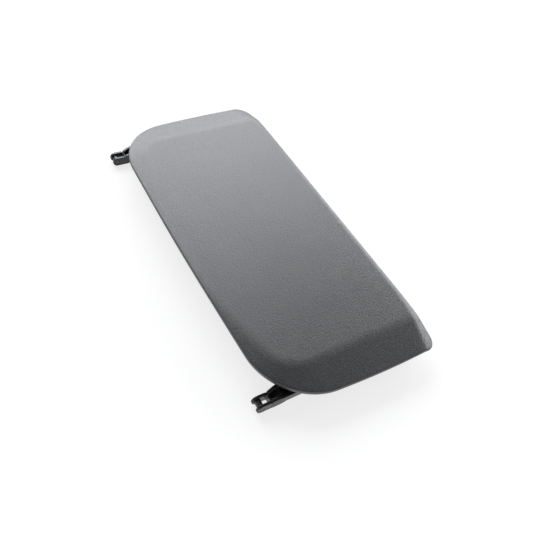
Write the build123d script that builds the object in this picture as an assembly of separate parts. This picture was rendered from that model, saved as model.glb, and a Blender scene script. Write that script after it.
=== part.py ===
"""Padded armrest lid: a grained soft top on a moulded carrier, hung on two gooseneck arms.

Millimetres.  +X runs along the lid, +Y points from the hinge edge to the front edge, +Z is up.
Inside the model Y is measured from the middle of the lid and depths from the flat of the padded
top downwards.  At the end everything is shifted so that the forks of the arms stand on z = 0 and
the origin is below the middle of the whole part.
"""
from build123d import *
import os
from math import atan2, degrees, radians, tan

# ---- Outline of the lid, seen from above ----
LENGTH = 300.0            # over the two front corners
WIDTH = 138.0             # hinge edge to front edge, at the middle
HINGE_BOW = 4.6           # how far the hinge edge bows out
END_TAPER = 4.7           # how much each end draws in towards the hinge edge
END_BOW = 2.7             # how far each end bows out
HINGE_CORNER_R = 50.0
FRONT_CORNER_R = 9.0
LEAST_CORNER_R = 4.0      # least radius left on a corner that is drawn in

# ---- Top form: a flat field that falls away at the ends and round the hinge corners ----
END_BAND = 25.0           # width of the falling band at each end
END_FALL = 5.2            # how far the band falls
FIELD_HINGE_INSET = 2.0   # flat field to hinge edge, at the middle
FIELD_HINGE_BOW = 19.0    # how much the field draws away from the hinge edge towards the ends
FIELD_FRONT_REACH = 14.0  # the field runs on past the front edge by this much
FIELD_HINGE_R = 28.0
FIELD_FRONT_R = 22.0
FIELD_BREAK_R = 40.0      # softness of the crease between field and band

# ---- Front lip: a facet that turns the front edge down and grows towards both ends ----
LIP_WIDTH = 3.7
LIP_FALL = 0.9
LIP_GROWTH_INSET = 55.0   # lid end to where the lip starts to grow
LIP_END_WIDTH = 11.5
LIP_END_FALL = 3.2
LIP_GROWTH_POWER = 1.7

# ---- Layers, from the top down ----
SKIN = 1.2                # grained cover skin
SOFT_GAP = 0.3            # clearance round the soft layers
FOAM = 3.8
CARRIER_FLOOR = 2.4
CARRIER_LIP = 2.2         # edge of the carrier that the skin wraps
CARRIER_WALL = 2.0        # wall of the foam tray
LIP_REACH = 10.5          # edge of the lid to the outside of the tray wall
HEM_REACH = 6.4           # how far the skin is turned under the lip
EDGE_ROUND = 2.4

# ---- Underside ----
LINER_DEPTH = 18.0        # flat of the top to the flat of the liner
LINER_WALL = 2.0
LINER_EDGE_INSET = 3.6    # lid edge to the liner's upper edge
LINER_FOOT_INSET = 9.5    # lid edge to the foot of the liner's sloping wall
LINER_ROUND = 2.5
RIB_DEPTH = 11.7          # flat of the top to the free edge of the ribs
RIB_THICKNESS = 1.8
RIB_PITCH_X = 34.0
RIB_PITCH_Y = 30.0
FIT_GAP = 0.3             # between moulded pieces that lie on each other

# ---- Screws and buffers ----
LINER_SCREW_END_INSET = 55.0      # lid end to the outer screws
LINER_SCREW_EDGE_INSET = 27.0     # front and hinge edges to the screws
LINER_SCREW_SHANK_R = 1.45
LINER_SCREW_HEAD_R = 3.2
LINER_SCREW_HEAD = 1.9
LINER_SCREW_BITE = 4.6
SCREW_SIDE_GAP = 0.05
BOSS_R = 4.0
TOWER_R = 5.8
RECESS_R = 4.0
RECESS_DEPTH = 3.6
BUFFER_END_INSET = 31.0
BUFFER_FRONT_INSET = 26.0
BUFFER_R = 5.0
BUFFER_STAND = 2.2
BUFFER_STEM_R = 2.4
BUFFER_BARB_R = 3.1
BUFFER_BARB = 1.4

# ---- Hinge arms ----
ARM_END_INSET = 18.7      # lid end to the middle of the arm
PIN_REACH = 1.0           # hinge axis beyond the hinge edge
PIN_DEPTH = 18.0          # flat of the top to the hinge axis
FORK_R = 3.9              # round end of the fork
FORK_WIDTH = 9.2
FORK_GAP = 4.8
FORK_OPEN = 11.0          # tip of the fork to the bridge behind the pin
BRIDGE = 3.2              # length of the bridge between the rails
BRIDGE_DROP = 0.5         # top of the fork to the head of the bridge
BRIDGE_SLOPE = 18.0       # degrees, down towards the neck
NECK_WIDTH = 11.6
NECK_WALL = 2.8
NECK_LEVEL = 7.0          # hinge axis to the first bend
NECK_SLOPE = 25.0         # degrees
BEND_R = 9.0
NOTCH_R = 0.8
NECK_UNDER = 17.5         # flat of the top to the underside of the neck behind the bend
SEAT_DEPTH = 11.5         # flat of the top to the arm's seat on the carrier
FOOT_THICKNESS = 2.6
FOOT_SHIFT = 1.8          # middle of the arm to the middle of its foot, inboard
FOOT_WIDTH = 14.0
FOOT_EDGE_INSET = 35.0    # hinge edge to the start of the foot
FOOT_LENGTH = 30.0
FOOT_CORNER_R = 4.0
ARM_SCREW_R = 1.9
ARM_SCREW_HEAD_R = 3.6
ARM_SCREW_HEAD = 1.5
ARM_SCREW_BITE = 3.0
ARM_SCREW_PITCH = 16.0
NOTCH_SIDE_GAP = 3.5      # the liner is left open this far round each arm's foot
NOTCH_END_GAP = 3.0
NOTCH_CORNER_R = 6.0

# ---- Hinge pins ----
JOURNAL_R = 1.7
JOURNAL_GAP = 0.05        # radial running clearance
BARREL_R = 2.4
BARREL_END_GAP = 0.12
PIN_CHAMFER = 0.3

# ---- Worked out from the values above ----
HALF = LENGTH / 2
FRONT_Y = WIDTH / 2
HINGE_Y = -WIDTH / 2
SLOPE = END_FALL / END_BAND
FIELD_SIDE = HALF - END_BAND
LIP_GROWTH_X = HALF - LIP_GROWTH_INSET
ARM_X = HALF - ARM_END_INSET
PIN_Y = HINGE_Y - PIN_REACH
FOOT_X = ARM_X - FOOT_SHIFT
FOOT_START_Y = HINGE_Y + FOOT_EDGE_INSET
FOOT_END_Y = FOOT_START_Y + FOOT_LENGTH
NOTCH_INNER_X = FOOT_X - FOOT_WIDTH / 2 - NOTCH_SIDE_GAP
NOTCH_END_Y = FOOT_END_Y + NOTCH_END_GAP
LINER_SCREW_X = HALF - LINER_SCREW_END_INSET
LINER_SCREW_Y = FRONT_Y - LINER_SCREW_EDGE_INSET
BUFFER_X = HALF - BUFFER_END_INSET
BUFFER_Y = FRONT_Y - BUFFER_FRONT_INSET
SKIN_UNDER = SKIN + SOFT_GAP
FOAM_UNDER = SKIN_UNDER + FOAM
TRAY_TOP = FOAM_UNDER + SOFT_GAP
TRAY_UNDER = TRAY_TOP + CARRIER_FLOOR
LIP_UNDER = SKIN_UNDER + CARRIER_LIP
EDGE = LIP_UNDER + SOFT_GAP + SKIN
LINER_TOP = EDGE + FIT_GAP
LINER_INSIDE = LINER_DEPTH - LINER_WALL
TOWER_TOP = RIB_DEPTH + FIT_GAP
FOOT_UNDER = SEAT_DEPTH + FOOT_THICKNESS
STAND = PIN_DEPTH + FORK_R
TIP_Y = PIN_Y - FORK_R
MIDDLE_Y = (FRONT_Y + TIP_Y) / 2
BIG = 40.0                # cutting blocks reach this far past what they trim
CUT_PAST = 1.0            # holes are cut this far past the face that they open in


def plan(inset=0.0):
    """The lid's outline as a face, drawn in by inset."""
    side = HALF - inset
    front = FRONT_Y - inset
    hinge = HINGE_Y + inset
    front_left, front_right = (-side, front), (side, front)
    hinge_left, hinge_right = [(way * (side - END_TAPER), hinge + HINGE_BOW) for way in (-1, 1)]
    end_x = side - END_TAPER / 2 + END_BOW
    end_y = (front + hinge + HINGE_BOW) / 2
    edges = [
        Line(front_left, front_right),
        ThreePointArc(front_right, (end_x, end_y), hinge_right),
        ThreePointArc(hinge_right, (0, hinge), hinge_left),
        ThreePointArc(hinge_left, (-end_x, end_y), front_left),
    ]
    face = make_face(edges)
    by_y = face.vertices().sort_by(Axis.Y)
    hinge_corners, front_corners = by_y[:2], by_y[2:]
    face = fillet(hinge_corners, max(HINGE_CORNER_R - inset, LEAST_CORNER_R))
    front_corners = face.vertices().sort_by(Axis.Y)[-2:]
    return fillet(front_corners, max(FRONT_CORNER_R - inset, LEAST_CORNER_R))


def field(depth):
    """The flat field of the top, at a depth."""
    side, front, hinge = FIELD_SIDE, FRONT_Y + FIELD_FRONT_REACH, HINGE_Y + FIELD_HINGE_INSET
    corner = hinge + FIELD_HINGE_BOW
    face = make_face([
        Line((-side, front), (side, front)),
        Line((side, front), (side, corner)),
        ThreePointArc((side, corner), (0, hinge), (-side, corner)),
        Line((-side, corner), (-side, front)),
    ])
    corners = face.vertices().sort_by(Axis.Y)
    face = fillet(corners[:2], FIELD_HINGE_R)
    face = fillet(face.vertices().sort_by(Axis.Y)[-2:], FIELD_FRONT_R)
    return Pos(0, 0, -depth) * face


def lip_section(x, depth):
    """Cross-section of the space above the front lip, when the lip is lowered by depth."""
    growth = max(0, (x - LIP_GROWTH_X) / (HALF - LIP_GROWTH_X)) ** LIP_GROWTH_POWER
    width = LIP_WIDTH + (LIP_END_WIDTH - LIP_WIDTH) * growth
    fall = LIP_FALL + (LIP_END_FALL - LIP_FALL) * growth
    crease_y = FRONT_Y - width
    crease_z = -depth - SLOPE * max(0, x - FIELD_SIDE)
    low_y, low_z = crease_y + BIG, crease_z - BIG * fall / width
    points = [(crease_y, crease_z), (low_y, low_z), (low_y, crease_z + BIG), (crease_y, crease_z + BIG)]
    return Plane(origin=(x, 0, 0), x_dir=(0, 1, 0), z_dir=(1, 0, 0)) * make_face(Polyline(*points, close=True))


def above_lip(depth):
    """All the space above the front lip, when the lip is lowered by depth."""
    sections = [lip_section(x, depth) for x in (0, LIP_GROWTH_X, FIELD_SIDE, HALF + END_BAND / 2)]
    return both_sides(loft(sections, ruled=True))


def under_crown(depth):
    """All the space below the top form, when that form is lowered by depth."""
    slopes = extrude(field(depth), -BIG * SLOPE, taper=-degrees(atan2(1, SLOPE)))
    slopes = fillet(slopes.faces().sort_by(Axis.Z)[-1].edges(), FIELD_BREAK_R)
    form = slopes + extrude(slopes.faces().sort_by(Axis.Z)[0], BIG, dir=(0, 0, -1))
    return form - above_lip(depth)


def plate(inset, top, under):
    """A plate of the lid's outline between two depths of the top form."""
    block = Pos(0, 0, -BIG) * extrude(plan(inset), 2 * BIG)
    return (block & under_crown(top)) - under_crown(under)


def post(x, y, radius, top, under):
    """A round post between two depths."""
    return Pos(x, y, -under) * Cylinder(radius, under - top, align=(Align.CENTER, Align.CENTER, Align.MIN))


def liner_screw_places():
    return [(x, y) for y in (-LINER_SCREW_Y, LINER_SCREW_Y) for x in (-LINER_SCREW_X, 0, LINER_SCREW_X)]


def arm_screw_places():
    middle = FOOT_START_Y + FOOT_LENGTH / 2
    return [(FOOT_X, middle + side * ARM_SCREW_PITCH / 2) for side in (-1, 1)]


def both_sides(shape):
    return shape + mirror(shape, Plane.YZ)


# ---- Soft layers ----
def rim_edges(shape):
    """The upper and lower edges of a plate's upright walls."""
    walls = shape.faces().filter_by(lambda face: abs(face.normal_at().Z) < 0.01)
    return ShapeList(edge for wall in walls for edge in wall.edges() if abs(edge.tangent_at(0.5).Z) < 0.7)


def make_cover_skin():
    """The skin over the foam, round the carrier's lip and turned under it as a hem."""
    outside = plate(0, 0, EDGE)
    outside = fillet(rim_edges(outside), EDGE_ROUND)
    inside = plate(SKIN, SKIN, EDGE - SKIN)
    window = plate(HEM_REACH, EDGE - SKIN - FIT_GAP, EDGE + BIG / 2)
    return outside - inside - window


def make_foam_pad():
    wall_inside = LIP_REACH + CARRIER_WALL
    return plate(wall_inside + SOFT_GAP, SKIN_UNDER, FOAM_UNDER)


# ---- Carrier ----
def carrier_ribs():
    """Crossed ribs under the tray, trimmed to it and clear of the arms' feet."""
    space = plate(LIP_REACH + CARRIER_WALL / 2, TRAY_TOP + CARRIER_FLOOR / 2, TRAY_TOP + BIG)
    depth = RIB_DEPTH - TRAY_TOP
    columns = int((HALF - LIP_REACH) // RIB_PITCH_X)
    ribs = Part()
    for column in range(-columns, columns + 1):
        ribs += Pos(column * RIB_PITCH_X, 0, -RIB_DEPTH) * Box(
            RIB_THICKNESS, WIDTH, depth, align=(Align.CENTER, Align.CENTER, Align.MIN))
    rows = int((FRONT_Y - LIP_REACH) // RIB_PITCH_Y)
    for row in range(-rows, rows + 1):
        ribs += Pos(0, row * RIB_PITCH_Y, -RIB_DEPTH) * Box(
            LENGTH, RIB_THICKNESS, depth, align=(Align.CENTER, Align.CENTER, Align.MIN))
    return ribs & space


def arm_corner(grow=0.0):
    """Upright block over the open corner of the liner round the right-hand arm."""
    inner, end = NOTCH_INNER_X - grow, NOTCH_END_Y + grow
    corner = (inner, end - BIG * 3)
    block = Pos(corner[0] + BIG, corner[1] + BIG * 1.5) * Rectangle(2 * BIG, 3 * BIG)
    inside_corner = block.vertices().sort_by(Axis.Y)[-2:].sort_by(Axis.X)[0]
    block = fillet(inside_corner, NOTCH_CORNER_R + grow)
    return Pos(0, 0, -BIG) * extrude(block, 2 * BIG)


def arm_pad():
    """Solid corner of the carrier that an arm is screwed to, with a slit left for the hem."""
    outer = plate(LINER_EDGE_INSET, LINER_TOP, LINER_TOP + BIG / 2)
    root = plate(HEM_REACH + FIT_GAP, LIP_UNDER - CARRIER_LIP / 2, LINER_TOP + BIG / 2)
    above_seat = Pos(0, 0, -SEAT_DEPTH) * Box(
        2 * LENGTH, 2 * WIDTH, BIG, align=(Align.CENTER, Align.CENTER, Align.MIN))
    return (outer + root) & above_seat & arm_corner(-FIT_GAP)


def make_lid_carrier():
    """Moulded carrier: lip, foam tray, crossed ribs, screw bosses and arm seats."""
    lip = plate(SKIN_UNDER, SKIN_UNDER, LIP_UNDER)
    tray = plate(LIP_REACH, SKIN_UNDER, TRAY_UNDER)
    pocket = plate(LIP_REACH + CARRIER_WALL, -BIG / 4, TRAY_TOP)
    carrier = lip + tray
    carrier += carrier_ribs() - both_sides(arm_corner(LINER_WALL + FIT_GAP))
    carrier += both_sides(arm_pad())
    carrier -= pocket
    for x, y in liner_screw_places():
        carrier += post(x, y, BOSS_R, TRAY_TOP + CARRIER_FLOOR / 2, RIB_DEPTH)
    pilot_r, pilot_top = LINER_SCREW_SHANK_R + SCREW_SIDE_GAP, RIB_DEPTH - LINER_SCREW_BITE
    for x, y in liner_screw_places():
        carrier -= post(x, y, pilot_r, pilot_top, RIB_DEPTH + CUT_PAST)
    pilot_r, pilot_top = ARM_SCREW_R + SCREW_SIDE_GAP, SEAT_DEPTH - ARM_SCREW_BITE
    for x, y in arm_screw_places():
        carrier -= both_sides(post(x, y, pilot_r, pilot_top, SEAT_DEPTH + CUT_PAST))
    return carrier


# ---- Liner ----
def liner_form(wall):
    """The liner's tapered tub, made smaller by a wall thickness."""
    top = Pos(0, 0, -EDGE) * plan(LINER_EDGE_INSET + wall)
    foot = Pos(0, 0, wall - LINER_DEPTH) * plan(LINER_FOOT_INSET + wall)
    return loft([foot, top], ruled=True)


def make_inner_liner():
    """Moulded liner that closes the underside and clamps the hem of the skin."""
    outside = liner_form(0)
    outside = fillet(outside.faces().sort_by(Axis.Z)[0].edges(), LINER_ROUND)
    liner = outside - liner_form(LINER_WALL)
    liner += outside & both_sides(arm_corner(LINER_WALL))
    liner -= both_sides(arm_corner())
    liner -= plate(LIP_REACH - FIT_GAP, -BIG / 4, TRAY_UNDER + FIT_GAP)
    liner = liner & under_crown(LINER_TOP)
    for x, y in liner_screw_places():
        liner += post(x, y, TOWER_R, TOWER_TOP, LINER_DEPTH - LINER_WALL / 2)
        liner -= post(x, y, RECESS_R, LINER_DEPTH - RECESS_DEPTH, LINER_DEPTH + CUT_PAST)
        liner -= post(x, y, LINER_SCREW_SHANK_R + FIT_GAP, 0, LINER_DEPTH)
    for x in (-BUFFER_X, BUFFER_X):
        liner -= post(x, BUFFER_Y, BUFFER_STEM_R + SCREW_SIDE_GAP, 0, LINER_DEPTH + CUT_PAST)
    return liner


# ---- Hinge arms ----
def fillet_at(face, points, radius):
    """Round the corners of a face that lie at the given points."""
    at = [Vector(*point) for point in points]
    corners = face.vertices().filter_by(lambda v: any((Vector(v) - p).length < 1e-6 for p in at))
    return fillet(corners, radius)


def arm_side_profile():
    """The arm seen from the end of the lid: fork, bent neck and flat foot, in the YZ plane."""
    rise = tan(radians(NECK_SLOPE))
    fork_top, fork_under = FORK_R - PIN_DEPTH, -STAND
    bend = PIN_Y + NECK_LEVEL
    under_bend = bend + 2 * FORK_R * tan(radians(NECK_SLOPE / 2))
    tip = [(TIP_Y, fork_under), (TIP_Y, fork_top)]
    lower = [(under_bend, fork_under), (under_bend + (STAND - NECK_UNDER) / rise, -NECK_UNDER)]
    heel = [(FOOT_START_Y - FOOT_CORNER_R, -NECK_UNDER), (FOOT_START_Y, -FOOT_UNDER)]
    upper = [(bend - (SEAT_DEPTH + fork_top) / rise, -SEAT_DEPTH), (bend, fork_top)]
    foot_end = [(FOOT_END_Y, -FOOT_UNDER), (FOOT_END_Y, -SEAT_DEPTH)]
    face = make_face(Polyline(tip[0], *lower, *heel, *foot_end, *upper, tip[1], close=True))
    face = fillet_at(face, tip, FORK_R - 1e-3)
    face = fillet_at(face, lower + upper, BEND_R)
    return fillet_at(face, heel, FOOT_THICKNESS)


def stand_up(face):
    """Turn a drawing of Y and depth into a face in the plane through the arm."""
    return Plane(origin=(ARM_X, 0, 0), x_dir=(0, 1, 0), z_dir=(1, 0, 0)) * face


def arm_plan(grow=0.0):
    """The arm seen from above: narrow fork, wider neck and broad foot set inboard."""
    fork, neck, foot = FORK_WIDTH / 2 + grow, NECK_WIDTH / 2 + grow, FOOT_WIDTH / 2 + grow
    spread_start, spread_end = TIP_Y + FORK_OPEN, TIP_Y + FORK_OPEN + 2 * FORK_R
    tip = TIP_Y - BIG / 8
    neck_end = FOOT_START_Y - FOOT_CORNER_R
    outboard = [(ARM_X + fork, tip), (ARM_X + fork, spread_start), (ARM_X + neck, spread_end),
                (ARM_X + neck, neck_end), (FOOT_X + foot, FOOT_START_Y), (FOOT_X + foot, FOOT_END_Y)]
    inboard = [(FOOT_X - foot, FOOT_END_Y), (FOOT_X - foot, FOOT_START_Y), (ARM_X - neck, neck_end),
               (ARM_X - neck, spread_end), (ARM_X - fork, spread_start), (ARM_X - fork, tip)]
    face = make_face(Polyline(*outboard, *inboard, close=True))
    face = fillet_at(face, outboard[4:5] + inboard[1:2], FOOT_CORNER_R)
    face = fillet_at(face, outboard[5:] + inboard[:1], FOOT_CORNER_R)
    return fillet_at(face, outboard[1:3] + inboard[-3:-1], BEND_R)


def arm_block(profile, outline):
    side = extrude(stand_up(profile), FOOT_WIDTH, both=True)
    return side & (Pos(0, 0, -BIG) * extrude(outline, 2 * BIG))


def make_hinge_arm():
    """Right-hand arm: gooseneck channel with a forked end and a screwed foot."""
    profile = arm_side_profile()
    arm = arm_block(profile, arm_plan())
    solid_arm = arm
    # channel in the neck, open upwards
    gap_end = TIP_Y + FORK_OPEN
    neck_end = FOOT_START_Y - FOOT_CORNER_R - NECK_WALL
    neck = Pos(ARM_X, (gap_end + neck_end) / 2, -PIN_DEPTH) * Box(BIG, neck_end - gap_end, BIG)
    arm -= (Pos(0, 0, NECK_WALL) * arm_block(profile, arm_plan(-NECK_WALL))) & neck
    # fork: open right through from the tip to the bridge
    arm -= Pos(ARM_X, gap_end - BIG / 2, -PIN_DEPTH) * Box(FORK_GAP, BIG, BIG)
    head = FORK_R - BRIDGE_DROP - PIN_DEPTH
    foot = head - BRIDGE * tan(radians(BRIDGE_SLOPE))
    bridge = stand_up(make_face(Polyline(
        (gap_end, head), (gap_end + BRIDGE, foot), (gap_end + BRIDGE, -BIG), (gap_end, -BIG), close=True)))
    arm += extrude(bridge, (FORK_WIDTH - NECK_WALL) / 2, both=True) & solid_arm
    # notch between the fork's round cheeks and the rails of the neck
    arm -= Pos(ARM_X, gap_end, FORK_R - PIN_DEPTH) * Rot(0, 90, 0) * Cylinder(NOTCH_R, FOOT_WIDTH)
    # pin bore and screw holes
    arm -= Pos(ARM_X, PIN_Y, -PIN_DEPTH) * Rot(0, 90, 0) * Cylinder(JOURNAL_R + JOURNAL_GAP, FOOT_WIDTH)
    for x, y in arm_screw_places():
        arm -= post(x, y, ARM_SCREW_R + FIT_GAP, 0, LINER_DEPTH)
    return arm


# ---- Pins, screws, buffers ----
def make_hinge_pin():
    """Steel pin: a barrel between the cheeks and a journal in each cheek."""
    barrel = Cylinder(BARREL_R, FORK_GAP - 2 * BARREL_END_GAP)
    journal = Cylinder(JOURNAL_R, FORK_WIDTH)
    journal = chamfer(journal.edges().filter_by(GeomType.CIRCLE), PIN_CHAMFER)
    return Pos(ARM_X, PIN_Y, -PIN_DEPTH) * Rot(0, 90, 0) * (barrel + journal)


def make_screw(x, y, seat, shank_r, bite, head_r, head):
    """A pan-head screw, driven upwards, with its head under a seat."""
    screw = post(x, y, shank_r, seat - bite, seat)
    top = post(x, y, head_r, seat, seat + head)
    rim = top.edges().filter_by(GeomType.CIRCLE).sort_by(Axis.Z)[0]
    top = chamfer(rim, head / 2)
    return screw + top


def make_liner_screws():
    seat = LINER_DEPTH - RECESS_DEPTH
    bite = seat - RIB_DEPTH + LINER_SCREW_BITE - FIT_GAP
    screws = [make_screw(x, y, seat, LINER_SCREW_SHANK_R, bite, LINER_SCREW_HEAD_R, LINER_SCREW_HEAD)
              for x, y in liner_screw_places()]
    return Compound(screws)


def make_arm_screws():
    bite = FOOT_THICKNESS + ARM_SCREW_BITE - FIT_GAP
    screws = [make_screw(x, y, FOOT_UNDER, ARM_SCREW_R, bite, ARM_SCREW_HEAD_R, ARM_SCREW_HEAD)
              for x, y in arm_screw_places()]
    return Compound(screws)


def make_buffer():
    """Rubber buffer: a domed head under the liner, on a stem with a barb inside."""
    barb_seat = LINER_INSIDE
    points = [
        (0, -LINER_DEPTH - BUFFER_STAND), (BUFFER_R * 0.7, -LINER_DEPTH - BUFFER_STAND),
        (BUFFER_R, -LINER_DEPTH - BUFFER_STAND * 0.4), (BUFFER_R, -LINER_DEPTH),
        (BUFFER_STEM_R, -LINER_DEPTH), (BUFFER_STEM_R, -barb_seat),
        (BUFFER_BARB_R, -barb_seat), (BUFFER_STEM_R * 0.7, -barb_seat + BUFFER_BARB),
        (0, -barb_seat + BUFFER_BARB),
    ]
    section = Plane.XZ * make_face(Polyline(*points, close=True))
    return Pos(BUFFER_X, BUFFER_Y, 0) * revolve(section, Axis.Z)


def main():
    os.makedirs("parts", exist_ok=True)
    right = {
        "hinge_arm": make_hinge_arm(),
        "hinge_pin": make_hinge_pin(),
        "arm_screws": make_arm_screws(),
        "buffer": make_buffer(),
    }
    nodes = {
        "cover_skin": make_cover_skin(),
        "foam_pad": make_foam_pad(),
        "lid_carrier": make_lid_carrier(),
        "inner_liner": make_inner_liner(),
        "liner_screws": make_liner_screws(),
    }
    for name, shape in right.items():
        nodes[name + "_right"] = shape
        nodes[name + "_left"] = mirror(shape, Plane.YZ)
    for name, shape in nodes.items():
        export_step(Pos(0, -MIDDLE_Y, STAND) * shape, "parts/" + name + ".step")


main()
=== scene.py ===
"""Padded armrest lid: finish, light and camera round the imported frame.

Metres, in the frame's own axes: +X along the lid, +Y from the hinge edge to the front, +Z up.
"""
import math

import bmesh
import bpy
import numpy as np
from mathutils import Matrix, Vector


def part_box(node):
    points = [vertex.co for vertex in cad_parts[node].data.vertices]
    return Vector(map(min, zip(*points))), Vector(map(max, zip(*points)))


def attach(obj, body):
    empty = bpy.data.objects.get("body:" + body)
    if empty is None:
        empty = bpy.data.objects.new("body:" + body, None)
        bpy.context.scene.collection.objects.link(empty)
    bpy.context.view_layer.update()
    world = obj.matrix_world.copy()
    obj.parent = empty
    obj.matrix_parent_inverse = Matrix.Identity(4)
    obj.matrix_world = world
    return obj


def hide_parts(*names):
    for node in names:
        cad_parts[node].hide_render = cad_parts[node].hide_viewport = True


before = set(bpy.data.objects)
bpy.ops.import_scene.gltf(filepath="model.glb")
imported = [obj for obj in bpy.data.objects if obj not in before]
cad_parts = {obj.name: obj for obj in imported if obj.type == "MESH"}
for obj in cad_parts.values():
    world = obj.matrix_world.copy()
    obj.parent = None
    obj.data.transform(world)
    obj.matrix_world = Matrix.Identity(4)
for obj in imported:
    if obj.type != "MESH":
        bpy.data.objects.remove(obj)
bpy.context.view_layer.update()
MM = 0.001


# ---- Camera ----
CAMERA_PLACE = Vector((0.27366, -0.20674, 0.36607))
CAMERA_FORWARD = Vector((-0.50835, 0.42161, -0.75088))
CAMERA_RIGHT = Vector((0.48732, 0.85975, 0.15283))
CAMERA_LENS = 40.97
SENSOR = 36.0


def make_camera():
    data = bpy.data.cameras.new("camera")
    data.sensor_width = SENSOR
    data.lens = CAMERA_LENS
    data.clip_start, data.clip_end = 0.01, 20
    camera = bpy.data.objects.new("camera", data)
    back = -CAMERA_FORWARD.normalized()
    right = (CAMERA_RIGHT - back * CAMERA_RIGHT.dot(back)).normalized()
    turn = Matrix((right, back.cross(right), back)).transposed()
    camera.matrix_world = Matrix.Translation(CAMERA_PLACE) @ turn.to_4x4()
    bpy.context.scene.collection.objects.link(camera)
    bpy.context.scene.camera = camera


# ---- Material helpers ----
class Nodes:
    """A material's node tree, with short calls to add and join nodes."""

    def __init__(self, name):
        self.material = bpy.data.materials.new(name)
        self.material.use_nodes = True
        self.tree = self.material.node_tree
        self.tree.nodes.clear()
        self.shader = self.add("ShaderNodeBsdfPrincipled")
        self.output = self.add("ShaderNodeOutputMaterial")
        self.join(self.shader.outputs[0], self.output.inputs["Surface"])
        self.place = self.add("ShaderNodeTexCoord").outputs["Object"]

    def add(self, kind, **settings):
        node = self.tree.nodes.new(kind)
        for key, value in settings.items():
            setattr(node, key, value)
        return node

    def join(self, source, socket):
        self.tree.links.new(source, socket)

    def fill(self, socket, value):
        if isinstance(value, bpy.types.NodeSocket):
            self.join(value, socket)
        else:
            socket.default_value = value

    def shade(self, **values):
        for key, value in values.items():
            self.fill(self.shader.inputs[key.replace("_", " ")], value)

    def math(self, operation, *values):
        node = self.add("ShaderNodeMath", operation=operation)
        for socket, value in zip(node.inputs, values):
            self.fill(socket, value)
        return node.outputs[0]

    def noise(self, size, detail):
        node = self.add("ShaderNodeTexNoise")
        node.inputs["Scale"].default_value = 1 / size
        node.inputs["Detail"].default_value = detail
        self.join(self.place, node.inputs["Vector"])
        return node.outputs["Fac"]

    def cells(self, size, feature="F1"):
        node = self.add("ShaderNodeTexVoronoi", feature=feature)
        node.inputs["Scale"].default_value = 1 / size
        self.join(self.place, node.inputs["Vector"])
        return node.outputs["Distance"]

    def ramp(self, value, stops):
        node = self.add("ShaderNodeValToRGB")
        ramp = node.color_ramp
        while len(ramp.elements) < len(stops):
            ramp.elements.new(0.5)
        for element, (place, colour) in zip(ramp.elements, stops):
            element.position = place
            grey = isinstance(colour, float)
            element.color = (colour, colour, colour, 1) if grey else (*colour, 1)
        self.join(value, node.inputs["Fac"])
        return node.outputs["Color"]

    def bump(self, height, distance, strength=1.0, normal=None):
        node = self.add("ShaderNodeBump")
        node.inputs["Distance"].default_value = distance
        node.inputs["Strength"].default_value = strength
        self.join(height, node.inputs["Height"])
        if normal is not None:
            self.join(normal, node.inputs["Normal"])
        return node.outputs["Normal"]

    def soft_edges(self, radius):
        node = self.add("ShaderNodeBevel", samples=6)
        node.inputs["Radius"].default_value = radius
        return node.outputs["Normal"]


def dress(material, *names):
    """Give a material to CAD nodes."""
    for name in names:
        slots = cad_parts[name].data.materials
        slots.clear()
        slots.append(material)


def both(name):
    return [name + "_left", name + "_right"]


# ---- Materials ----
GRAIN_PITCH, FOLD_SIZE = 1.5 * MM, 2.2 * MM
SKIN_DARK, SKIN_LIGHT = (0.029, 0.029, 0.0316), (0.035, 0.035, 0.0378)


def leather():
    """Charcoal skin: creased pebbles on soft folds, with a broad sheen."""
    n = Nodes("charcoal_skin")
    pebbles = n.cells(GRAIN_PITCH)
    creases = n.cells(GRAIN_PITCH, "DISTANCE_TO_EDGE")
    crease = n.ramp(creases, [(0.0, 0.0), (0.2, 1.0)])
    height = n.math("ADD", n.math("MULTIPLY", crease, 0.7), n.math("MULTIPLY", pebbles, -0.3))
    folds = n.noise(FOLD_SIZE, 3)
    height = n.math("ADD", height, n.math("MULTIPLY", folds, 1.2))
    tone = n.ramp(n.noise(30 * MM, 3), [(0.3, SKIN_DARK), (0.7, SKIN_LIGHT)])
    roughness = n.ramp(folds, [(0.3, 0.4), (0.7, 0.5)])
    n.shade(Base_Color=tone, Roughness=roughness, Specular_IOR_Level=1.0,
            Normal=n.bump(height, 0.1 * MM, 0.62))
    return n.material


def moulded(name, colour, grain, depth, roughness):
    """Moulded plastic with a fine eroded texture."""
    n = Nodes(name)
    height = n.noise(grain, 3)
    darker, lighter = [tuple(c * share for c in colour) for share in (0.9, 1.1)]
    tone = n.ramp(n.noise(20 * MM, 2), [(0.3, darker), (0.7, lighter)])
    n.shade(Base_Color=tone, Roughness=roughness,
            Normal=n.bump(height, depth, 0.7, n.soft_edges(0.3 * MM)))
    return n.material


def glossy():
    """Glossy black moulding with a faint waviness."""
    n = Nodes("gloss_black")
    wave = n.noise(6 * MM, 2)
    roughness = n.ramp(n.noise(2 * MM, 4), [(0.3, 0.2), (0.8, 0.3)])
    n.shade(Base_Color=(0.012, 0.012, 0.0135, 1), Roughness=roughness, Specular_IOR_Level=0.6,
            Normal=n.bump(wave, 0.05 * MM, 0.6))
    return n.material


def steel(name, colour, roughness):
    n = Nodes(name)
    turned = n.noise(0.15 * MM, 2)
    n.shade(Base_Color=(*colour, 1), Metallic=1.0, Roughness=roughness,
            Normal=n.bump(turned, 0.01 * MM, 0.5, n.soft_edges(0.15 * MM)))
    return n.material


def rubber():
    n = Nodes("soft_rubber")
    tone = n.ramp(n.noise(4 * MM, 3), [(0.3, 0.02), (0.7, 0.035)])
    n.shade(Base_Color=tone, Roughness=0.8, Normal=n.bump(n.noise(0.3 * MM, 3), 0.03 * MM, 0.6))
    return n.material


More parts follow.
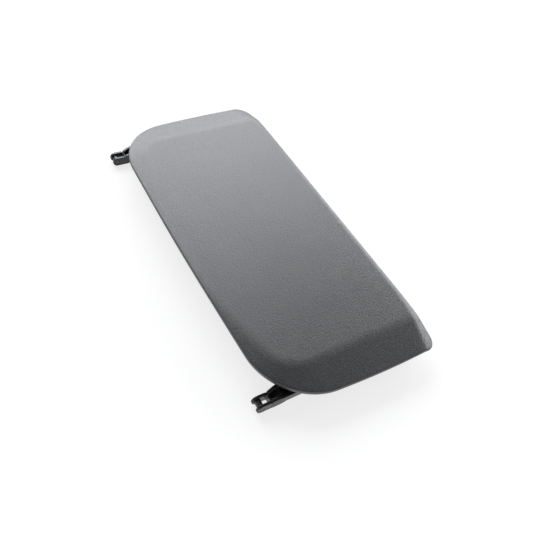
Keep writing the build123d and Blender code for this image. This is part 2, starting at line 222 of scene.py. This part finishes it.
# ---- Padded top: outline, seen from above ----
SKIN_LOW, SKIN_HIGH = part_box("cover_skin")
TOP_Z, FRONT_Y, HINGE_Y = SKIN_HIGH.z, SKIN_HIGH.y, SKIN_LOW.y
HALF = 150 * MM               # middle to a front corner
END_BOW = 2.7 * MM            # how far each end bows out
END_TAPER = 4.7 * MM          # how much each end draws in towards the hinge edge
HINGE_BOW = 4.6 * MM          # how far the hinge edge bows out
HINGE_CORNER_R, FRONT_CORNER_R = 50 * MM, 9 * MM
FIELD_SIDE = 125 * MM         # the flat field of the top
FIELD_FRONT_Y, FIELD_HINGE_Y = FRONT_Y + 14 * MM, HINGE_Y - 1.5 * MM
FIELD_BOW = 22.5 * MM
FIELD_HINGE_R, FIELD_FRONT_R = 28 * MM, 22 * MM
STRAIGHT_R = 500.0            # a straight edge is drawn as an arc this large
ARC_STEP = 0.25 * MM          # least length of an outline's steps
SLIGHT_BOW = ARC_STEP / 100   # bow of the field's ends, which are all but straight
INWARD = 0.9                  # a corner's centre is the one nearest to this share of the corner


def circle_through(a, b, c):
    """Centre and radius of the circle through three points."""
    a, b, c = np.array(a), np.array(b), np.array(c)
    rows = 2 * np.array((b - a, c - a))
    centre = np.linalg.solve(rows, (b @ b - a @ a, c @ c - a @ a))
    return centre, np.linalg.norm(centre - a)


def meeting_point(first, second, near):
    """Where two circles meet, nearest to a point."""
    (c1, r1), (c2, r2) = first, second
    gap = c2 - c1
    span = np.linalg.norm(gap)
    along = (r1 * r1 - r2 * r2 + span * span) / (2 * span)
    aside = math.sqrt(r1 * r1 - along * along) / span
    foot = c1 + gap * along / span
    across = np.array((-gap[1], gap[0])) * aside
    return min((foot + across, foot - across), key=lambda point: np.linalg.norm(point - near))


def arc(circle, start, end):
    """Points and outward normals along a circle, from above one point to above another."""
    centre, radius = circle
    first, last = [math.atan2(*(point - centre)[::-1]) for point in (start, end)]
    steps = max(3, math.ceil(radius * abs(first - last) / ARC_STEP))
    angles = np.linspace(first, last, steps)
    normals = np.stack((np.cos(angles), np.sin(angles)), 1)
    return np.hstack((centre + radius * normals, normals))


def rounded_half(front_corner, side_middle, hinge_corner, hinge_middle, front_r, hinge_r):
    """Right half of an outline, from the front's middle to the hinge's, with round corners."""
    front_middle = np.array((0, front_corner[1]))
    front = (front_middle - (0, STRAIGHT_R), STRAIGHT_R)
    side = circle_through(front_corner, side_middle, hinge_corner)
    hinge = circle_through(hinge_corner, hinge_middle, (-hinge_corner[0], hinge_corner[1]))
    pieces, start = [], front_middle
    corners = (front, side, front_r, front_corner), (side, hinge, hinge_r, hinge_corner)
    for before, after, radius, corner in corners:
        smaller = [(centre, r - radius) for centre, r in (before, after)]
        centre = meeting_point(*smaller, np.array(corner) * INWARD)
        touch = [c + (centre - c) * r / np.linalg.norm(centre - c) for c, r in (before, after)]
        pieces += [arc(before, start, touch[0]), arc((centre, radius), *touch)]
        start = touch[1]
    pieces.append(arc(hinge, start, np.array(hinge_middle)))
    return np.vstack(pieces)


def whole(half):
    """Both halves of an outline, clockwise from the front's middle."""
    return np.vstack((half, half[::-1] * (-1, 1, -1, 1)))


LID_HINGE_CORNER = (HALF - END_TAPER, HINGE_Y + HINGE_BOW)
LID_OUTLINE = whole(rounded_half(
    (HALF, FRONT_Y), (HALF - END_TAPER / 2 + END_BOW, (FRONT_Y + LID_HINGE_CORNER[1]) / 2),
    LID_HINGE_CORNER, (0, HINGE_Y), FRONT_CORNER_R, HINGE_CORNER_R))
FIELD_OUTLINE = whole(rounded_half(
    (FIELD_SIDE, FIELD_FRONT_Y), (FIELD_SIDE + SLIGHT_BOW, 0),
    (FIELD_SIDE, FIELD_HINGE_Y + FIELD_BOW), (0, FIELD_HINGE_Y), FIELD_FRONT_R, FIELD_HINGE_R))


# ---- Padded top: height of the form ----
END_SLOPE = 5.2 / 25          # fall of the bands at the ends and round the hinge corners
BREAK_REACH = 4.1 * MM        # half the width of the soft crease at the field's edge
LIP_WIDTH, LIP_FALL = 3.7 * MM, 1.15 * MM             # front lip at the middle
LIP_END_WIDTH, LIP_END_FALL = 11.5 * MM, 3.7 * MM     # and at the front corners
LIP_GROWTH_X = HALF - 55 * MM                         # where it starts to grow
LIP_GROWTH_POWER = 1.7
LIP_BREAK_REACH = 0.5 * MM
OUTLINE_EVERY = 4             # distances are measured to an outline of every fourth point


def distance_outside(points, outline):
    """Signed distance of points from a convex outline, positive outside."""
    a = outline[::OUTLINE_EVERY, :2]
    b = np.roll(a, -1, 0)
    step = b - a
    result = np.empty(len(points))
    for i, point in enumerate(points):
        share = np.clip(((point - a) * step).sum(1) / (step * step).sum(1), 0, 1)
        nearest = np.linalg.norm(point - a - step * share[:, None], axis=1).min()
        crossed = step[:, 0] * (point - a)[:, 1] - step[:, 1] * (point - a)[:, 0]
        result[i] = nearest if crossed.max() > 0 else -nearest
    return result


def soft_ramp(distance, reach):
    """0 below zero and the distance above it, with a round start."""
    start = (distance + reach) ** 2 / (4 * reach)
    return np.where(np.abs(distance) < reach, start, np.maximum(distance, 0))


def crown_fall(points):
    """How far the top form lies below the flat field."""
    bands = END_SLOPE * soft_ramp(distance_outside(points, FIELD_OUTLINE), BREAK_REACH)
    along = (np.abs(points[:, 0]) - LIP_GROWTH_X) / (HALF - LIP_GROWTH_X)
    growth = np.clip(along, 0, None) ** LIP_GROWTH_POWER
    width = LIP_WIDTH + (LIP_END_WIDTH - LIP_WIDTH) * growth
    fall = LIP_FALL + (LIP_END_FALL - LIP_FALL) * growth
    lip = fall / width * soft_ramp(points[:, 1] - FRONT_Y + width, LIP_BREAK_REACH)
    return bands + lip


# ---- Padded top: shells built from rings round a spine ----
SPINE_HALF = 110 * MM         # the spine runs along the lid, at mid-depth
SPINE_Y = (FRONT_Y + HINGE_Y) / 2
SPINE_STEP = 2.5 * MM
FAN_STEPS = 180               # rays round each end of the spine
TOP_RINGS, HIDDEN_RINGS = 37, 18
ROUND_RINGS = 7
FRONT_ROUND, SIDE_ROUND = 1.0 * MM, 0.8 * MM      # top edge, along the front and elsewhere
UNDER_REACH = 1.8 * MM        # how far the side draws in towards the hem
EDGE_DEPTH = 5.2 * MM         # thickness of the padded top at its edge
SKIN = 1.2 * MM
HEM_REACH = 6.4 * MM
FOAM_INSET, FOAM_TOP, FOAM_UNDER, FOAM_ROUND = 12.8 * MM, 1.5 * MM, 5.3 * MM, 1.0 * MM
CROWN_CAP = 0.7 * MM          # most that the foam lifts the skin
SIM_EVERY = 4                 # the cloth has every fourth ring and ray of the top
SIM_FRAMES = 20
SIM_PRESSURE = 4.0
SPREAD = 9 * MM               # smoothing of the cloth's rise
LIFT_START = 16 * MM          # the lift fades in over this distance from the edge


def hit(centre, direction):
    """Where a ray from the spine meets the lid's outline: x, y and the outward normal there."""
    away = LID_OUTLINE[:, :2] - centre
    side = direction[0] * away[:, 1] - direction[1] * away[:, 0]
    after = np.roll(side, -1)
    i = np.flatnonzero((side * after <= 0) & (side != after) & (away @ direction > 0))[0]
    start, end = LID_OUTLINE[i], LID_OUTLINE[(i + 1) % len(LID_OUTLINE)]
    return start + (end - start) * side[i] / (side[i] - after[i])


def stations():
    """Spine points and the outline's points and normals, clockwise seen from above."""
    rays = []
    steps = round(2 * SPINE_HALF / SPINE_STEP)
    for way in (1, -1):
        centre = np.array((way * SPINE_HALF, SPINE_Y))
        for k in range(FAN_STEPS + 1):
            angle = way * math.pi / 2 - math.pi * k / FAN_STEPS
            rays.append((centre, np.array((math.cos(angle), math.sin(angle)))))
        for k in range(1, steps):
            centre = np.array((way * (SPINE_HALF - k * SPINE_STEP), SPINE_Y))
            rays.append((centre, np.array((0.0, -way))))
    spine = np.array([centre for centre, direction in rays])
    edge = np.array([hit(*ray) for ray in rays])
    return spine, edge[:, :2], edge[:, 2:]


SPINE, EDGE, EDGE_NORMAL = stations()
EDGE_ROUND = SIDE_ROUND + (FRONT_ROUND - SIDE_ROUND) * np.clip(EDGE_NORMAL[:, 1], 0, 1) ** 2


def ring_points(rings):
    """Grid of points, one row for each ring (share of the way from the spine, inset, depth)."""
    insets, depths = [np.array([np.broadcast_to(ring[i], len(EDGE)) for ring in rings])
                      for i in (1, 2)]
    shares = np.array([ring[0] for ring in rings])[:, None, None]
    flat = SPINE + shares * (EDGE - insets[:, :, None] * EDGE_NORMAL - SPINE)
    fall = crown_fall(flat.reshape(-1, 2)).reshape(insets.shape)
    return np.dstack((flat, TOP_Z - fall - depths))


def grid_faces(rings, count):
    """Quads between successive closed rings of a grid."""
    starts = [(r * count, k, (k + 1) % count) for r in range(rings - 1) for k in range(count)]
    return [(row + k, row + after, row + count + after, row + count + k) for row, k, after in starts]


def mesh_from_grid(name, grid):
    """Smooth mesh of a grid of rings; rings that shrink to the spine close on it."""
    rings, count = grid.shape[:2]
    mesh = bpy.data.meshes.new(name)
    mesh.from_pydata(grid.reshape(-1, 3).tolist(), [], grid_faces(rings, count))
    work = bmesh.new()
    work.from_mesh(mesh)
    bmesh.ops.remove_doubles(work, verts=work.verts, dist=1e-6)
    bmesh.ops.recalc_face_normals(work, faces=work.faces)
    work.to_mesh(mesh)
    work.free()
    for face in mesh.polygons:
        face.use_smooth = True
    return mesh


def add_piece(name, mesh, material, body):
    piece = bpy.data.objects.new(name, mesh)
    mesh.materials.append(material)
    bpy.context.scene.collection.objects.link(piece)
    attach(piece, body)
    return piece


def round_rings(across, down, depth, way):
    """Rings of a rounded edge, from the flat to the upright wall (way 1) or back (way -1)."""
    angles = [math.pi / 2 * k / ROUND_RINGS for k in range(1, ROUND_RINGS + 1)]
    if way < 0:
        angles = [math.pi / 2 - angle for angle in angles]
    return [(1, across * (1 - math.sin(a)), depth + way * down * (1 - math.cos(a))) for a in angles]


def simulated_rise(sheet_points):
    """Rise of a cloth sheet that is held at its edge, under a light pressure from below."""
    rings, count = sheet_points.shape[:2]
    mesh = bpy.data.meshes.new("sim")
    mesh.from_pydata(sheet_points.reshape(-1, 3).tolist(), [], grid_faces(rings, count))
    sheet = bpy.data.objects.new("sim", mesh)
    bpy.context.scene.collection.objects.link(sheet)
    held = sheet.vertex_groups.new(name="held")
    held.add(list(range(len(mesh.vertices) - count, len(mesh.vertices))), 1.0, "REPLACE")
    cloth = sheet.modifiers.new("cloth", "CLOTH")
    cloth.settings.vertex_group_mass = "held"
    cloth.settings.use_pressure = True
    cloth.settings.uniform_pressure_force = SIM_PRESSURE
    cloth.settings.effector_weights.gravity = 0.0
    scene = bpy.context.scene
    scene.frame_start, scene.frame_end = 1, SIM_FRAMES
    for frame_number in range(1, SIM_FRAMES + 1):
        scene.frame_set(frame_number)
    moved = sheet.evaluated_get(bpy.context.evaluated_depsgraph_get()).data
    heights = np.array([v.co.z for v in moved.vertices]).reshape(rings, count)
    bpy.data.objects.remove(sheet)
    scene.frame_set(1)
    return np.clip(heights - sheet_points[:, :, 2], 0, None)


def lift_of_foam(top):
    """How far the foam lifts each point of the top: the cloth's rise, made smooth and capped."""
    coarse = top[SIM_EVERY::SIM_EVERY, ::SIM_EVERY]
    rise = simulated_rise(coarse).ravel()
    places = coarse[:, :, :2].reshape(-1, 2)
    lift = np.empty(top.shape[:2])
    for row, ring in zip(lift, top[:, :, :2]):
        apart = ((ring[:, None] - places[None]) ** 2).sum(2)
        weight = np.exp(-apart / (2 * SPREAD * SPREAD))
        row[:] = (weight * rise).sum(1) / weight.sum(1)
    inset = np.linalg.norm(EDGE - top[:, :, :2], axis=2) / LIFT_START
    fade = np.clip(inset, 0, 1) ** 2 * (3 - 2 * np.clip(inset, 0, 1))
    lift *= fade
    return lift * CROWN_CAP / lift.max()


def make_padded_top(skin_material, foam_material):
    """The skin, from its top round the edge to the hem and back inside, and the foam."""
    top = [(share, EDGE_ROUND, 0) for share in np.linspace(0, 1, TOP_RINGS)]
    rings = top + round_rings(EDGE_ROUND, EDGE_ROUND, 0, 1)
    rings += round_rings(UNDER_REACH, EDGE_DEPTH - EDGE_ROUND, EDGE_DEPTH, -1)
    inside = EDGE_DEPTH - SKIN
    rings += [(1, inset, EDGE_DEPTH) for inset in (HEM_REACH / 2, HEM_REACH)]
    rings += [(1, inset, inside) for inset in (HEM_REACH, SKIN * 2, SKIN)]
    rings += [(1, SKIN, SKIN * 2), (1, SKIN, SKIN)]
    rings += [(share, HEM_REACH, SKIN) for share in np.linspace(1, 0, HIDDEN_RINGS)]
    grid = ring_points(rings)
    grid[:TOP_RINGS, :, 2] += lift_of_foam(grid[:TOP_RINGS])
    skin = add_piece("skin", mesh_from_grid("skin", grid), skin_material, "lid")
    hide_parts("cover_skin")

    shares = np.linspace(0, 1, HIDDEN_RINGS)
    side = round_rings(FOAM_ROUND, FOAM_ROUND, FOAM_TOP, 1)
    rings = [(share, FOAM_INSET + FOAM_ROUND, FOAM_TOP) for share in shares]
    rings += [(1, FOAM_INSET + inset, depth) for one, inset, depth in side]
    rings += [(1, FOAM_INSET, FOAM_UNDER)]
    rings += [(share, FOAM_INSET, FOAM_UNDER) for share in shares[::-1]]
    mesh = mesh_from_grid("foam", ring_points(rings))
    foam = add_piece("foam", mesh, foam_material, "lid")
    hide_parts("foam_pad")


# ---- Arms: the CAD form with its edges rounded as a moulding's are ----
ARM_VOXEL = 0.3 * MM
ARM_SMOOTHING = 5


def make_arm(side, material):
    """A copy of the CAD arm with soft edges, in the CAD arm's place."""
    name = "hinge_arm_" + side
    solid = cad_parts[name]
    rough = bpy.data.objects.new("rough_arm", solid.data.copy())
    rough.matrix_world = solid.matrix_world
    bpy.context.scene.collection.objects.link(rough)
    remesh = rough.modifiers.new("remesh", "REMESH")
    remesh.mode, remesh.voxel_size = "VOXEL", ARM_VOXEL
    relax = rough.modifiers.new("relax", "SMOOTH")
    relax.factor, relax.iterations = 0.5, ARM_SMOOTHING
    evaluated = rough.evaluated_get(bpy.context.evaluated_depsgraph_get())
    shaped = bpy.data.meshes.new_from_object(evaluated)
    shaped.transform(rough.matrix_world)
    shaped.materials.clear()
    bpy.data.objects.remove(rough)
    for face in shaped.polygons:
        face.use_smooth = True
    arm = add_piece("arm_" + side, shaped, material, "lid")
    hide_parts(name)


# ---- Stage and light ----
DAYLIGHT = (0.945, 0.965, 1.0)
LAMP_DISTANCE = 1.4
ROOM_LEVELS = ((0.05, 0.9), (0.7, 0.1))      # room light, by the sine of the elevation
FLOOR_REACH = 6.0
FLOOR_GLOW = 0.76             # what the camera sees of the floor is mostly its own white
FLOOR_SHADE = 0.32            # and a little of the light and shadow that fall on it
FLOOR_NEAR, FLOOR_FAR = 0.2, 0.45      # metres from the middle over which it turns plain white


def shown_white(tree, plain):
    """A mix of a plain shader with what the camera, mirrors and glass see, its second input."""
    ray = tree.nodes.new("ShaderNodeLightPath")
    seen = ray.outputs["Is Camera Ray"]
    for kind in ("Is Glossy Ray", "Is Transmission Ray"):
        either = tree.nodes.new("ShaderNodeMath")
        either.operation = "MAXIMUM"
        tree.links.new(seen, either.inputs[0])
        tree.links.new(ray.outputs[kind], either.inputs[1])
        seen = either.outputs[0]
    mix = tree.nodes.new("ShaderNodeMixShader")
    tree.links.new(seen, mix.inputs["Fac"])
    tree.links.new(plain, mix.inputs[1])
    return mix


def make_floor():
    mesh = bpy.data.meshes.new("floor")
    corners = [(x * FLOOR_REACH, y * FLOOR_REACH, 0) for x, y in ((-1, -1), (1, -1), (1, 1), (-1, 1))]
    mesh.from_pydata(corners, [], [(0, 1, 2, 3)])
    floor = bpy.data.objects.new("floor", mesh)
    n = Nodes("floor_white")
    n.shade(Base_Color=(0.8, 0.8, 0.8, 1), Roughness=0.9)
    mix = shown_white(n.tree, n.shader.outputs[0])
    glow, shade = n.add("ShaderNodeEmission"), n.add("ShaderNodeBsdfDiffuse")
    seen = n.add("ShaderNodeAddShader")
    away = n.add("ShaderNodeVectorMath", operation="LENGTH")
    n.join(n.place, away.inputs[0])
    glow.inputs["Strength"].default_value = 1.0
    level = n.ramp(away.outputs["Value"], [(FLOOR_NEAR, FLOOR_GLOW), (FLOOR_FAR, 1.0)])
    n.join(level, glow.inputs["Color"])
    shade.inputs["Color"].default_value = (FLOOR_SHADE, FLOOR_SHADE, FLOOR_SHADE, 1)
    n.join(glow.outputs[0], seen.inputs[0])
    n.join(shade.outputs[0], seen.inputs[1])
    n.join(seen.outputs[0], mix.inputs[2])
    n.join(mix.outputs[0], n.output.inputs["Surface"])
    mesh.materials.append(n.material)
    bpy.context.scene.collection.objects.link(floor)


def make_lamp(name, angle, elevation, width, height, radiance):
    """A softbox that faces the origin, at an angle from +X and an elevation in degrees."""
    data = bpy.data.lights.new(name, "AREA")
    data.shape = "RECTANGLE"
    data.size, data.size_y = width, height
    data.energy = radiance * math.pi * width * height
    data.color = DAYLIGHT
    lamp = bpy.data.objects.new(name, data)
    turn, rise = math.radians(angle), math.radians(elevation)
    level = math.cos(rise)
    away = Vector((math.cos(turn) * level, math.sin(turn) * level, math.sin(rise)))
    lamp.location = away * LAMP_DISTANCE
    lamp.rotation_mode = "QUATERNION"
    lamp.rotation_quaternion = away.to_track_quat("Z", "Y")
    bpy.context.scene.collection.objects.link(lamp)


def make_world():
    """Plain room light, brighter towards the horizon; white to the camera."""
    world = bpy.data.worlds.new("room")
    bpy.context.scene.world = world
    world.use_nodes = True
    tree = world.node_tree
    output, room = tree.nodes["World Output"], tree.nodes["Background"]
    place = tree.nodes.new("ShaderNodeTexCoord")
    split = tree.nodes.new("ShaderNodeSeparateXYZ")
    ramp = tree.nodes.new("ShaderNodeValToRGB")
    tree.links.new(place.outputs["Generated"], split.inputs[0])
    tree.links.new(split.outputs["Z"], ramp.inputs["Fac"])
    for element, (rise, level) in zip(ramp.color_ramp.elements, ROOM_LEVELS):
        element.position, element.color = rise, (level, level, level, 1)
    tree.links.new(ramp.outputs["Color"], room.inputs["Color"])
    white = tree.nodes.new("ShaderNodeBackground")
    white.inputs["Color"].default_value = (1, 1, 1, 1)
    ray = tree.nodes.new("ShaderNodeLightPath")
    mix = tree.nodes.new("ShaderNodeMixShader")
    tree.links.new(ray.outputs["Is Camera Ray"], mix.inputs["Fac"])
    tree.links.new(room.outputs[0], mix.inputs[1])
    tree.links.new(white.outputs[0], mix.inputs[2])
    tree.links.new(mix.outputs[0], output.inputs["Surface"])


make_camera()
make_floor()
make_world()
make_lamp("window", 170, 32, 1.7, 0.95, 5.5)
make_lamp("strip", 104, 16, 1.4, 0.75, 5.0)
make_lamp("side", 25, 28, 0.6, 0.5, 1.0)
make_padded_top(leather(), moulded("foam", (0.7, 0.66, 0.52), 0.6 * MM, 0.1 * MM, 0.9))
dress(moulded("carrier_black", (0.05, 0.05, 0.055), 0.25 * MM, 0.02 * MM, 0.55), "lid_carrier")
dress(moulded("liner_black", (0.035, 0.035, 0.038), 0.3 * MM, 0.04 * MM, 0.6), "inner_liner")
gloss = glossy()
for side in ("left", "right"):
    make_arm(side, gloss)
dress(steel("pin_steel", (0.09, 0.092, 0.1), 0.35), *both("hinge_pin"))
dress(steel("screw_steel", (0.35, 0.35, 0.36), 0.4), "liner_screws", *both("arm_screws"))
dress(rubber(), *both("buffer"))

bpy.context.scene.view_settings.view_transform = "Standard"
